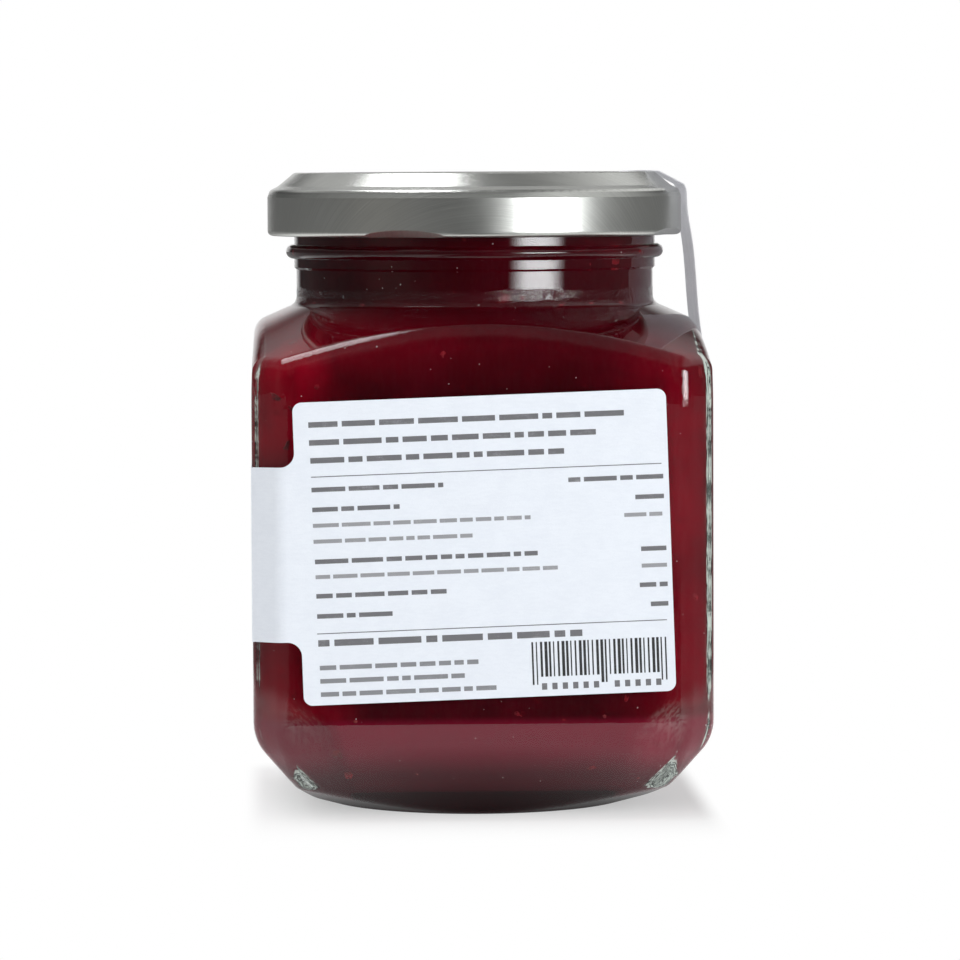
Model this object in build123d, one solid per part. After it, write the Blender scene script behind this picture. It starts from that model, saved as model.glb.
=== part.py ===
from build123d import *
import os
from math import cos, radians, sqrt, tan

# A square glass jar of jam, shut by a twist-off metal lid. Its foot ring stands on Z = 0, its axis
# is the Z axis and its front face looks along -Y. The front, back, left and right faces are flat,
# with a narrow flat across each upright corner. The conical shoulder cuts all eight, so that each
# face ends in an arch. A paper label covers the front, goes round the left side in a narrower band
# and covers the back, and a paper strip seals the lid on the right.

# ---- Jar, outside (millimetres and degrees) -----------------------------------------------------
BODY_WIDTH = 71.3        # across two opposite faces
CORNER_LEG = 4.3         # leg of the flat across each upright corner
EDGE_ROUND = 3.0         # rounding of the upright edges and of the bevels' edges
ARCH_SHARE = 0.93        # the arches and the underside's edge are rounded by this share of that
HEEL_HEIGHT = 12.6       # where a face and its bevel below would meet
HEEL_ANGLE = 50.0        # slope of that bevel from the horizontal
HEEL_ROUND = 7.5         # rounding between face and bevel
FOOT_INSET = 11.5        # from a face in to the outside of the ring that the jar stands on
FOOT_WIDTH = 2.0         # width of that ring
UNDERSIDE_ANGLE = 16.0   # slope outside the foot ring
PUSH_UP = 2.2            # rise of the base's middle inside the foot ring
LEAN_HEIGHT = 15.3       # the faces curve inward over this height below the neck's base
LEAN = 0.9               # how far they have gone at the neck's base
SHOULDER_ANGLE = 23.5    # slope of the shoulder's cone from the horizontal
NECK_BASE = 79.3         # height where the cone would meet the neck
NECK_RADIUS = 28.45
NECK_FILLET = 1.6        # between the cone and the neck
COLLAR_RISE = 5.7        # from the neck's base up to where the neck steps out under the bead
COLLAR_STEP = 0.35       # by how much it steps out
BEAD_RISE = 8.2          # from the neck's base up to the middle of the round bead under the lid
BEAD_REACH = 1.65        # how far the bead stands out from the neck
BEAD_THICKNESS = 2.2     # along Z
RIM_RISE = 19.3          # from the neck's base up to the top of the glass, on which the lid seals
RIM_ROUND = 0.9

# ---- Jar, inside, and jam -----------------------------------------------------------------------
WALL = 2.7               # thickness of the faces
CORNER_EXTRA = 1.4       # further glass inside each upright corner
SHOULDER_WALL = 2.6      # thickness under the shoulder's cone
NECK_WALL = 2.3
BASE_THICKNESS = 5.2     # from the resting plane to the floor inside
INNER_ROUND = 4.0        # rounding of the inside's edges
INNER_HEEL_EXTRA = 1.2   # further glass inside the heel's bevel
INNER_HEEL_ROUND = 8.0   # rounding between face and bevel
CORNER_HEEL_RISE = 4.0   # how much higher the bevels of the corner flats start, inside
HEADSPACE = 5.6          # from the top of the jam up to the top of the glass

# ---- Lid ----------------------------------------------------------------------------------------
LID_DEPTH = 10.0         # from the skirt's lower edge to the top of the raised ring
LID_METAL = 0.4          # thickness of the sheet
LID_ROUND = 0.8          # rounding of the pressed edges
THREAD_SPACE = 3.8       # between the neck's top and the skirt, for thread and lugs
PANEL_DROP = 1.0         # how far the flat middle lies below the ring
PANEL_INSET = 8.2        # from the skirt's outside in to the edge of that middle
RING_INNER_INSET = 6.7   # and to the edges of the ring's flat top
RING_OUTER_INSET = 4.3
STEP_INSET = 1.7         # the small step half-way down the shoulder
STEP_DROP = 2.15
SHOULDER_INSET = 0.4     # where the shoulder turns down into the skirt
SHOULDER_DROP = 2.8
SKIRT_DROP = 3.9         # where the skirt is upright
CURL = 1.6               # size of the rolled lower edge
LUG_COUNT = 4
LUG_FIRST = -22.0        # direction of the first lug, from the front towards +X
LUG_WIDTH = 7.0          # along the skirt
LUG_HEIGHT = 1.5
LUG_REACH = 2.8          # from the skirt's outside inward
DENT_HEIGHT = 1.15       # from the lower edge up to the top of the flat pressed in outside each lug
DENT_ANGLE = 44.0        # slope of that flat from the vertical

# ---- Paper --------------------------------------------------------------------------------------
PAPER = 0.12             # thickness
LABEL_MARGIN = 2.7       # from the panels' sides out to the edges of their faces
LABEL_FOOT = 6.7         # from the heel's edge up to the front panel
LABEL_HEAD = 1.9         # how far the front panel reaches above where the faces start to lean
LABEL_CORNER = 1.4       # rounding of the panels' corners
BACK_TRIM = 4.6          # by how much the back panel is lower than the front one
BAND_TRIM = 19.7         # and the band round the left side
BAND_FILLET = 2.2        # between band and panels
LABEL_TILT = 1.9         # slope of the whole label, higher at the front's right
STRIP_WIDTH = 21.0
STRIP_START = 12.0       # where it starts on the lid, from the axis
STRIP_SLACK = 0.12       # gap between strip and skirt at the lid's shoulder
STRIP_BELLY = 0.75       # how much further out it hangs beside the bead
SHOULDER_GAP = 0.02      # how far off it passes the unrounded edge between shoulder and right face
STRIP_STUCK = 18.0       # how far down it reaches below where the faces start to lean

# ---- Worked out from the sizes above ------------------------------------------------------------
HALF = BODY_WIDTH / 2
CORNER_DISTANCE = (2 * HALF - CORNER_LEG) / sqrt(2)
REACH = 2 * HALF         # beyond every corner of the body
SHOULDER_SLOPE = tan(radians(SHOULDER_ANGLE))
HEEL_SLOPE = tan(radians(HEEL_ANGLE))
FOOT_RADIUS = HALF - FOOT_INSET
LEAN_START = NECK_BASE - LEAN_HEIGHT
LEAN_RADIUS = (LEAN_HEIGHT ** 2 + LEAN ** 2) / (2 * LEAN)
COLLAR_HEIGHT = NECK_BASE + COLLAR_RISE
BEAD_HEIGHT = NECK_BASE + BEAD_RISE
RIM_HEIGHT = NECK_BASE + RIM_RISE
NECK_INSIDE = NECK_RADIUS - NECK_WALL
RIM_RADIUS = NECK_RADIUS + COLLAR_STEP
JAM_LEVEL = RIM_HEIGHT - HEADSPACE
LID_TOP = RIM_HEIGHT + LID_METAL + PANEL_DROP
LID_BOTTOM = LID_TOP - LID_DEPTH
LID_RADIUS = RIM_RADIUS + THREAD_SPACE + LID_METAL
SHOULDER_RADIUS = LID_RADIUS - SHOULDER_INSET
STEP_RADIUS = LID_RADIUS - STEP_INSET
RING_OUTER = LID_RADIUS - RING_OUTER_INSET
RING_INNER = LID_RADIUS - RING_INNER_INSET
PANEL_RADIUS = LID_RADIUS - PANEL_INSET
LABEL_WIDTH = BODY_WIDTH - 2 * (CORNER_LEG + LABEL_MARGIN)
LABEL_LOW = HEEL_HEIGHT + LABEL_FOOT
LABEL_HIGH = LEAN_START + LABEL_HEAD
LABEL_HEIGHT = LABEL_HIGH - LABEL_LOW
LABEL_CENTRE = (LABEL_HIGH + LABEL_LOW) / 2
BACK_HEIGHT = LABEL_HEIGHT - BACK_TRIM
BAND_HEIGHT = LABEL_HEIGHT - BAND_TRIM
STRIP_END = LEAN_START - STRIP_STUCK
SHARP = 3.0              # surfaces that turn by more than this many degrees meet in an edge
SAME = 0.01              # sizes that differ by less are the same


def slab(distance, bottom, heel_height, heel_round):
    """What lies between two opposite faces: bevelled below, upright, leaning in a little above."""
    foot = distance - (heel_height - bottom) / HEEL_SLOPE
    lower_part = Polyline((0, bottom), (foot, bottom), (distance, heel_height), (distance, LEAN_START))
    lean = TangentArc(lower_part @ 1, (distance - LEAN, NECK_BASE), tangent=(0, 1))
    upper_part = Polyline(lean @ 1, (0, NECK_BASE), (0, bottom))
    half = make_face([*lower_part.edges(), lean, *upper_part.edges()])
    heel = half.vertices().sort_by_distance((distance, heel_height))[0]
    half = fillet(heel, heel_round)
    return extrude(Plane.XZ * (half + mirror(half, Plane.YZ)), REACH, both=True)


def sharp_edges(solid):
    """The solid's edges in which two of its surfaces meet at an angle, level circles left out."""
    faces = solid.faces()
    found = []
    for edge in solid.edges():
        sides = [face for face in faces if any(edge.is_same(other) for other in face.edges())]
        if len(sides) < 2 or edge.geom_type == GeomType.CIRCLE:
            continue
        middle = edge @ 0.5
        if sides[0].normal_at(middle).get_angle(sides[1].normal_at(middle)) > SHARP:
            found.append(edge)
    return found


def faced_block(faces, flats, edge_round, turned):
    """A turned solid cut to four faces and four corner flats, with every edge rounded."""
    prism = faces & Rot(Z=90) * faces & Rot(Z=45) * flats & Rot(Z=135) * flats
    rising = [edge for edge in sharp_edges(prism) if edge.bounding_box().size.Z > PAPER]
    block = fillet(rising, edge_round) & turned
    return fillet(sharp_edges(block), ARCH_SHARE * edge_round)


def turned_solid(*outline):
    """What a closed outline of (radius, height) points and curves sweeps round the Z axis."""
    return revolve(Plane.XZ * make_face(outline), Axis.Z)


def cone_height(radius, depth=0.0):
    """Height of the shoulder's cone at a radius, at a depth below its surface."""
    return NECK_BASE - (radius - NECK_RADIUS) * SHOULDER_SLOPE - depth / cos(radians(SHOULDER_ANGLE))


def face_distance(height):
    """How far a face lies from the axis at a height where it leans."""
    return HALF - LEAN_RADIUS + sqrt(LEAN_RADIUS ** 2 - (height - LEAN_START) ** 2)


def rounded_at(solid, radius, height, size):
    """The solid with its level circle of that radius and height rounded."""
    circles = solid.edges().filter_by(GeomType.CIRCLE)
    level = [edge for edge in circles if abs(edge.center().Z - height) < SAME]
    return fillet([edge for edge in level if abs(edge.radius - radius) < SAME], size)


def outer_body():
    """The glass's outside up to the plain neck, without the push-up."""
    underside = (REACH - FOOT_RADIUS) * tan(radians(UNDERSIDE_ANGLE))
    outline = Polyline(
        (0, 0), (FOOT_RADIUS, 0), (REACH, underside), (REACH, cone_height(REACH)), (NECK_RADIUS, NECK_BASE),
        (0, NECK_BASE), close=True)
    faces = slab(HALF, -HEEL_HEIGHT, HEEL_HEIGHT, HEEL_ROUND)
    flats = slab(CORNER_DISTANCE, -HEEL_HEIGHT, HEEL_HEIGHT, HEEL_ROUND)
    block = faced_block(faces, flats, EDGE_ROUND, turned_solid(*outline.edges()))
    neck = Pos(Z=(NECK_BASE + COLLAR_HEIGHT) / 2) * Cylinder(NECK_RADIUS, COLLAR_HEIGHT - NECK_BASE)
    return rounded_at(block + neck, NECK_RADIUS, NECK_BASE, NECK_FILLET)


def finish():
    """The neck's top: a small step out, the bead and the round rim."""
    bead_low = BEAD_HEIGHT - BEAD_THICKNESS / 2
    bead_high = BEAD_HEIGHT + BEAD_THICKNESS / 2
    lower_part = Polyline(
        (0, COLLAR_HEIGHT - COLLAR_STEP), (NECK_RADIUS, COLLAR_HEIGHT - COLLAR_STEP), (RIM_RADIUS, COLLAR_HEIGHT),
        (RIM_RADIUS, bead_low))
    bead = ThreePointArc(
        (RIM_RADIUS, bead_low), (NECK_RADIUS + BEAD_REACH, BEAD_HEIGHT), (RIM_RADIUS, bead_high))
    side = Line((RIM_RADIUS, bead_high), (RIM_RADIUS, RIM_HEIGHT - RIM_ROUND))
    rim = TangentArc(side @ 1, (RIM_RADIUS - RIM_ROUND, RIM_HEIGHT), tangent=(0, 1))
    top = Polyline(rim @ 1, (0, RIM_HEIGHT), lower_part @ 0)
    return turned_solid(*lower_part.edges(), bead, side, rim, *top.edges())


def cavity():
    """The inside of the glass, open through the neck."""
    inner_base = cone_height(NECK_INSIDE, SHOULDER_WALL)
    outline = Polyline(
        (0, BASE_THICKNESS), (REACH, BASE_THICKNESS), (REACH, cone_height(REACH, SHOULDER_WALL)),
        (NECK_INSIDE, inner_base), (0, inner_base), close=True)
    heel_height = HEEL_HEIGHT - WALL * HEEL_SLOPE + (WALL + INNER_HEEL_EXTRA) / cos(radians(HEEL_ANGLE))
    faces = slab(HALF - WALL, BASE_THICKNESS, heel_height, INNER_HEEL_ROUND)
    flats = slab(
        CORNER_DISTANCE - WALL - CORNER_EXTRA, BASE_THICKNESS, heel_height + CORNER_HEEL_RISE, INNER_HEEL_ROUND)
    block = faced_block(faces, flats, INNER_ROUND, turned_solid(*outline.edges()))
    neck = Pos(Z=(inner_base + LID_TOP) / 2) * Cylinder(NECK_INSIDE, LID_TOP - inner_base)
    return rounded_at(block + neck, NECK_INSIDE, inner_base, NECK_FILLET)


def jar(inside):
    """The glass: its outside and neck, less the push-up under the base and the cavity."""
    push_radius = FOOT_RADIUS - FOOT_WIDTH
    ball = (push_radius ** 2 + PUSH_UP ** 2) / (2 * PUSH_UP)
    push_up = Pos(Z=PUSH_UP - ball) * Sphere(ball)
    return outer_body() + finish() - push_up - inside


def jam(inside):
    """The jam, which fills the cavity up to its level."""
    return inside & Pos(Z=JAM_LEVEL / 2) * Cylinder(REACH, JAM_LEVEL)


def lid():
    """The pressed lid: sunk middle, raised ring, stepped shoulder, skirt, rolled edge and lugs."""
    curl_middle = LID_BOTTOM + CURL / 2
    pressed = (
        (SHOULDER_RADIUS, LID_TOP - SHOULDER_DROP), (STEP_RADIUS, LID_TOP - STEP_DROP), (RING_OUTER, LID_TOP),
        (RING_INNER, LID_TOP), (PANEL_RADIUS, LID_TOP - PANEL_DROP))
    outside = make_face(Polyline(
        (0, curl_middle), (LID_RADIUS, curl_middle), (LID_RADIUS, LID_TOP - SKIRT_DROP), *pressed,
        (0, LID_TOP - PANEL_DROP), close=True))
    for corner in pressed:
        outside = fillet(outside.vertices().sort_by_distance(corner)[0], LID_ROUND)
    below_rim = Pos(0, RIM_HEIGHT / 2) * Rectangle(2 * LID_RADIUS, RIM_HEIGHT)
    hollow = Pos(-LID_METAL, -LID_METAL) * outside & below_rim
    curl = Pos(LID_RADIUS - CURL / 2, curl_middle) * Circle(CURL / 2)
    shell = revolve(Plane.XZ * (outside - hollow + curl), Axis.Z)
    for number in range(LUG_COUNT):
        turn = Rot(Z=LUG_FIRST - 90 + number * 360 / LUG_COUNT)
        lug = Pos(LID_RADIUS - (LUG_REACH + CURL / 2) / 2, 0, curl_middle) * Box(
            LUG_REACH - CURL / 2, LUG_WIDTH, LUG_HEIGHT)
        dent = Pos(LID_RADIUS, 0, LID_BOTTOM + DENT_HEIGHT) * Rot(Y=DENT_ANGLE) * Pos(X=LID_RADIUS / 2) * Box(
            LID_RADIUS, LID_RADIUS, LID_DEPTH)
        shell = shell + turn * lug - turn * dent
    return shell


def label_outline(height, band_side):
    """A panel with round corners and the band that leaves it on one side."""
    panel = RectangleRounded(LABEL_WIDTH, height, LABEL_CORNER)
    band = Pos(band_side * REACH / 2, 0) * Rectangle(REACH, BAND_HEIGHT)
    outline = panel + band
    for end in (-1, 1):
        joint = (band_side * LABEL_WIDTH / 2, end * BAND_HEIGHT / 2)
        outline = fillet(outline.vertices().sort_by_distance(joint)[0], BAND_FILLET)
    return outline


def label():
    """One sheet of paper on the front, round the left side and on the back."""
    octagon = Rectangle(BODY_WIDTH, BODY_WIDTH) & Rot(Z=45) * Rectangle(2 * CORNER_DISTANCE, 2 * CORNER_DISTANCE)
    plan = fillet(octagon.vertices(), EDGE_ROUND)
    sleeve = extrude(offset(plan, PAPER) - plan, NECK_BASE)
    face_end = HALF - CORNER_LEG
    drop = (2 * face_end + CORNER_LEG * sqrt(2)) * tan(radians(LABEL_TILT))
    views = (
        (Vector(1, 0, 0), Vector(0, -1, 0), label_outline(LABEL_HEIGHT, -1)),
        (Vector(0, -1, 0), Vector(-1, 0, 0), Rectangle(2 * REACH, BAND_HEIGHT)),
        (Vector(-1, 0, 0), Vector(0, 1, 0), label_outline(BACK_HEIGHT, 1)),
    )
    slices = (
        Pos(0, -(face_end + REACH) / 2, NECK_BASE / 2) * Box(2 * REACH, REACH - face_end, NECK_BASE),
        Pos(-REACH / 2, 0, NECK_BASE / 2) * Box(REACH, 2 * face_end, NECK_BASE),
        Pos(0, (face_end + REACH) / 2, NECK_BASE / 2) * Box(2 * REACH, REACH - face_end, NECK_BASE),
    )
    sheet = None
    for number, (right, outward, outline) in enumerate(views):
        middle = Vector(0, 0, LABEL_CENTRE - number * drop)
        view = Plane(origin=middle, x_dir=right, z_dir=outward)
        piece = extrude(view * Rot(Z=LABEL_TILT) * outline, REACH) & sleeve & slices[number]
        sheet = piece if sheet is None else sheet + piece
    return sheet


def seal_strip():
    """A strip of paper over the lid's edge, hanging free beside the neck, stuck to the right face."""
    half = PAPER / 2
    skirt = LID_RADIUS + STRIP_SLACK + half
    edge_height = cone_height(HALF - LEAN)
    edge = face_distance(edge_height) + SHOULDER_GAP + half
    upper_face = (edge_height + LEAN_START) / 2
    ramp_start = sqrt(PANEL_RADIUS ** 2 - (STRIP_WIDTH / 2) ** 2)
    ramp_end = sqrt(RING_INNER ** 2 - (STRIP_WIDTH / 2) ** 2)
    on_lid = Polyline(
        (STRIP_START, LID_TOP - PANEL_DROP + half), (ramp_start, LID_TOP - PANEL_DROP + half),
        (ramp_end, LID_TOP + half), (RING_OUTER + half, LID_TOP + half),
        (SHOULDER_RADIUS + half, LID_TOP - SHOULDER_DROP + LID_ROUND))
    hanging = Spline(
        on_lid @ 1, (skirt, LID_TOP - SKIRT_DROP - LID_ROUND), (skirt + STRIP_BELLY, BEAD_HEIGHT + BEAD_THICKNESS),
        (edge, edge_height), (HALF + half, upper_face), tangents=[(1, -1), (0, -1)])
    stuck = Line(hanging @ 1, (HALF + half, STRIP_END))
    section = trace(on_lid + hanging + stuck, PAPER)
    return extrude(Plane.XZ * section, STRIP_WIDTH / 2, both=True)


if __name__ == "__main__":
    os.makedirs("parts", exist_ok=True)
    inside = cavity()
    nodes = {"jar": jar(inside), "jam": jam(inside), "lid": lid(), "label": label(), "seal_strip": seal_strip()}
    for name, solid in nodes.items():
        export_step(solid, f"parts/{name}.step")
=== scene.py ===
"""The looks of a square glass jar of dark red jam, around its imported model.

The jar, lid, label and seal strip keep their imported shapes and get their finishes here. The jam gets a body
of its own that reaches just into the glass. Berry pulp, seeds, bubbles and the label's print are new pieces.
"""

import logging
import math
import random
from dataclasses import dataclass, field
from enum import Enum
from typing import Any

import bmesh
import bpy
from mathutils import Matrix, Vector
from mathutils.bvhtree import BVHTree


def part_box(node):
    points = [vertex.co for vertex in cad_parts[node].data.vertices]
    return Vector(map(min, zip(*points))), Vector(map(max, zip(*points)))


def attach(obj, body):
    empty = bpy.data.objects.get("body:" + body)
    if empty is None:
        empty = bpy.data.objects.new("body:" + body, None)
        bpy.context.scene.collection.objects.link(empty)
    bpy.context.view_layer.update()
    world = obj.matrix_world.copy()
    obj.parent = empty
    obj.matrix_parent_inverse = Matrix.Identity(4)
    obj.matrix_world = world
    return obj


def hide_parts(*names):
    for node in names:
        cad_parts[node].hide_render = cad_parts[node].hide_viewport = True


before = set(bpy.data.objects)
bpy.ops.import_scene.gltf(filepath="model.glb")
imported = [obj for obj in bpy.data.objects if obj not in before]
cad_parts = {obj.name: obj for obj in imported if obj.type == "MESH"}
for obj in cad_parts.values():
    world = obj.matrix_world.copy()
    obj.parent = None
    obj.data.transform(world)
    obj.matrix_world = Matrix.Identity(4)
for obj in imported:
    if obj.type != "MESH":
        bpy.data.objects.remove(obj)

MM = 0.001
SAME_PLACE = 0.001 * MM
ROOT = "root"
log = logging.getLogger("jam_jar")


class Slot(Enum):
    """Names of two material slots: the jam and the label's paper."""

    JAM = "jam"
    LABEL = "label_paper"


class Ink(Enum):
    """The tones of the label's print."""

    BLACK = "black"
    DARK = "dark"
    GREY = "grey"
    PALE = "pale"
    RED = "red"


Value = Any
Colour = tuple[float, float, float]
Span = tuple[float, float]
WHITE = (1.0, 1.0, 1.0)


def rgba(colour: Colour) -> tuple[float, float, float, float]:
    """An opaque colour for a shader socket."""
    return (*colour, 1.0)


# ---- Shader trees ----------------------------------------------------------------------------------------
class Graph:
    """A shader tree that is being wired."""

    def __init__(self, tree: bpy.types.NodeTree) -> None:
        """Starts on an empty tree."""
        self.tree = tree
        tree.nodes.clear()

    def add(self, kind: str, inputs: dict[Any, Value] | None = None, **settings: Any) -> bpy.types.Node:
        """Adds a node.

        Args:
            kind: The node's type, without its "ShaderNode" start.
            inputs: Socket names or numbers, each with a socket to link from or a plain value.
            settings: The node's own settings.

        Returns:
            The new node.
        """
        node = self.tree.nodes.new("ShaderNode" + kind)
        for name, setting in settings.items():
            setattr(node, name, setting)
        for name, value in (inputs or {}).items():
            if isinstance(value, bpy.types.NodeSocket):
                self.tree.links.new(value, node.inputs[name])
            else:
                node.inputs[name].default_value = value
        return node

    def math(self, operation: str, *values: Value, clamp: bool = False) -> bpy.types.NodeSocket:
        """The result of a Math node on one to three sockets or numbers."""
        node = self.add("Math", dict(enumerate(values)), operation=operation, use_clamp=clamp)
        return node.outputs[0]

    def spread(self, value: Value, start: float, end: float, low: float = 0.0, high: float = 1.0,
               smooth: bool = True) -> bpy.types.NodeSocket:
        """Carries a value from one range into another and keeps it inside.

        Args:
            value: The value.
            start: What gives low.
            end: What gives high.
            low: Start of the new range.
            high: End of the new range.
            smooth: Whether the step is eased at both ends.

        Returns:
            The carried value.
        """
        kind = "SMOOTHSTEP" if smooth else "LINEAR"
        inputs = {"Value": value, "From Min": start, "From Max": end, "To Min": low, "To Max": high}
        return self.add("MapRange", inputs, interpolation_type=kind, clamp=True).outputs["Result"]

    def blend(self, share: Value, first: Value, second: Value, mode: str = "MIX") -> bpy.types.NodeSocket:
        """Mixes two colours.

        Args:
            share: How much of the second.
            first: A colour or a socket.
            second: A colour or a socket.
            mode: The Mix node's way of mixing.

        Returns:
            The mixed colour.
        """
        inputs = {0: share, 6: rgba(first) if isinstance(first, tuple) else first,
                  7: rgba(second) if isinstance(second, tuple) else second}
        return self.add("Mix", inputs, data_type="RGBA", blend_type=mode).outputs[2]

    def place(self) -> bpy.types.NodeSocket:
        """The point's place on the object, in metres."""
        return self.add("TexCoord").outputs["Object"]

    def parts(self, vector: Value) -> list[bpy.types.NodeSocket]:
        """A vector's three parts."""
        return list(self.add("SeparateXYZ", {0: vector}).outputs)

    def radius(self, x: Value, y: Value) -> bpy.types.NodeSocket:
        """The distance from the upright axis."""
        return self.math("SQRT", self.math("MULTIPLY_ADD", x, x, self.product(y, y)))

    def product(self, first: Value, second: Value) -> bpy.types.NodeSocket:
        """One number times another."""
        return self.math("MULTIPLY", first, second)

    def mixed(self, first: Value, second: Value, share: float) -> bpy.types.NodeSocket:
        """This share of one number and the rest of another."""
        return self.math("MULTIPLY_ADD", first, share, self.product(second, 1.0 - share))

    def grey(self, level: Value) -> bpy.types.NodeSocket:
        """A grey of this level."""
        return self.add("CombineColor", {0: level, 1: level, 2: level}).outputs[0]

    def stretched(self, vector: Value, scale: tuple[float, float, float],
                  turn: float = 0.0) -> bpy.types.NodeSocket:
        """A vector turned about Z by so many degrees and scaled."""
        inputs = {"Vector": vector, "Rotation": (0.0, 0.0, math.radians(turn)), "Scale": scale}
        return self.add("Mapping", inputs).outputs[0]

    def noise(self, vector: Value, scale: Value, detail: float = 2.0,
              rough: float = 0.5) -> bpy.types.NodeSocket:
        """Soft noise from 0 to 1 at so many cells a metre."""
        inputs = {"Vector": vector, "Scale": scale, "Detail": detail, "Roughness": rough}
        return self.add("TexNoise", inputs).outputs["Fac"]

    def bump(self, height: Value, depth: float, normal: Value = None) -> bpy.types.NodeSocket:
        """Tilts the normal by a height.

        Args:
            height: The height, from 0 to 1.
            depth: How far a height of 1 stands proud, in metres.
            normal: A normal that is already tilted, if any.

        Returns:
            The tilted normal.
        """
        inputs = {"Height": height, "Distance": depth, "Strength": 1.0}
        if normal is not None:
            inputs["Normal"] = normal
        return self.add("Bump", inputs).outputs[0]

    def put(self, group: bpy.types.NodeTree, **values: Value) -> bpy.types.Node:
        """Places a node group with its own values."""
        return self.add("Group", values, node_tree=group)

    def surface(self, shader: bpy.types.Node) -> None:
        """Ends the tree in this shader."""
        output = self.add("OutputMaterial")
        self.tree.links.new(shader.outputs[0], output.inputs["Surface"])


def new_material(name: str) -> tuple[bpy.types.Material, Graph]:
    """Starts a node material.

    Args:
        name: The material's name.

    Returns:
        The material and its empty graph.
    """
    material = bpy.data.materials.new(name)
    material.use_nodes = True
    return material, Graph(material.node_tree)


def new_group(name: str, inputs: dict[str, float],
              outputs: list[str]) -> tuple[bpy.types.NodeTree, Graph, Any, Any]:
    """Starts a node group with number inputs and outputs.

    Args:
        name: The group's name.
        inputs: Each input's name and usual value.
        outputs: The outputs' names.

    Returns:
        The group, its graph, its input node and its output node.
    """
    group = bpy.data.node_groups.new(name, "ShaderNodeTree")
    for key, value in inputs.items():
        socket = group.interface.new_socket(name=key, in_out="INPUT", socket_type="NodeSocketFloat")
        socket.default_value = value
    for key in outputs:
        group.interface.new_socket(name=key, in_out="OUTPUT", socket_type="NodeSocketFloat")
    graph = Graph(group)
    return group, graph, group.nodes.new("NodeGroupInput"), group.nodes.new("NodeGroupOutput")


@dataclass(frozen=True)
class PaperFibre:
    """The make-up of paper: a felt of fine fibres over a soft cloudiness."""

    fine_scale: float = 4200.0
    strand_scale: float = 2600.0
    strand_stretch: float = 0.25
    strand_share: float = 0.5
    cloud_scale: float = 260.0
    cloud_share: float = 0.35

    def build(self) -> bpy.types.NodeTree:
        """Makes the node group that every paper and ink uses with its own fineness.

        Returns:
            The group, which puts out a tone and a height.
        """
        group, graph, given, result = new_group("paper fibre", {"Fineness": 1.0}, ["Tone", "Height"])
        place = graph.place()
        fine = graph.noise(place, graph.product(given.outputs["Fineness"], self.fine_scale), 3.0, 0.6)
        upright = graph.stretched(place, (self.strand_stretch, self.strand_stretch, 1.0))
        height = graph.mixed(graph.noise(upright, self.strand_scale, 2.0), fine, self.strand_share)
        tone = graph.mixed(graph.noise(place, self.cloud_scale, 3.0), height, self.cloud_share)
        graph.tree.links.new(tone, result.inputs["Tone"])
        graph.tree.links.new(height, result.inputs["Height"])
        return group


# ---- Finishes --------------------------------------------------------------------------------------------
@dataclass(frozen=True)
class ClearGlass:
    """Moulded soda-lime glass with the faint waves and the rough rings that its mould leaves."""

    tint: Colour = (0.955, 0.985, 0.972)
    index: float = 1.5
    wave_scale: float = 70.0
    wave_depth: float = 0.00009
    grain_scale: float = 2600.0
    grain_depth: float = 0.00012
    foot_radius: float = 0.024
    foot_band: float = 0.0025
    foot_core: float = 0.4
    foot_rise: Span = (0.0018, 0.0006)
    band_start: float = 0.0006
    band_end: float = 0.0008
    neck_reach: Span = (0.0305, 0.0295)

    def build(self, neck_low: float, neck_high: float) -> bpy.types.Material:
        """Makes the material.

        Args:
            neck_low: Height where the neck's rough band starts.
            neck_high: Height where it ends.

        Returns:
            The glass, which lets the lamps' light through.
        """
        material, graph = new_material("clear glass")
        place = graph.place()
        x, y, z = graph.parts(place)
        radius = graph.radius(x, y)
        off_ring = graph.math("ABSOLUTE", graph.math("SUBTRACT", radius, self.foot_radius))
        foot = graph.product(graph.spread(off_ring, self.foot_band, self.foot_core * self.foot_band),
                             graph.spread(z, *self.foot_rise))
        neck = graph.product(graph.spread(z, neck_low, neck_low + self.band_start),
                             graph.spread(z, neck_high, neck_high - self.band_end))
        neck = graph.product(neck, graph.spread(radius, *self.neck_reach))
        rough = graph.math("MAXIMUM", foot, neck)
        waves = graph.bump(graph.noise(place, self.wave_scale, 1.0), self.wave_depth)
        grain = graph.product(graph.noise(place, self.grain_scale, 1.0), rough)
        normal = graph.bump(grain, self.grain_depth, normal=waves)
        glass = graph.add("BsdfPrincipled", {
            "Base Color": rgba(self.tint), "Roughness": 0.0, "IOR": self.index, "Transmission Weight": 1.0,
            "Normal": normal})
        clear = graph.add("BsdfTransparent", {"Color": rgba(self.tint)})
        lamps = graph.add("LightPath").outputs["Is Shadow Ray"]
        graph.surface(graph.add("MixShader", {0: lamps, 1: glass.outputs[0], 2: clear.outputs[0]}))
        return material


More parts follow.
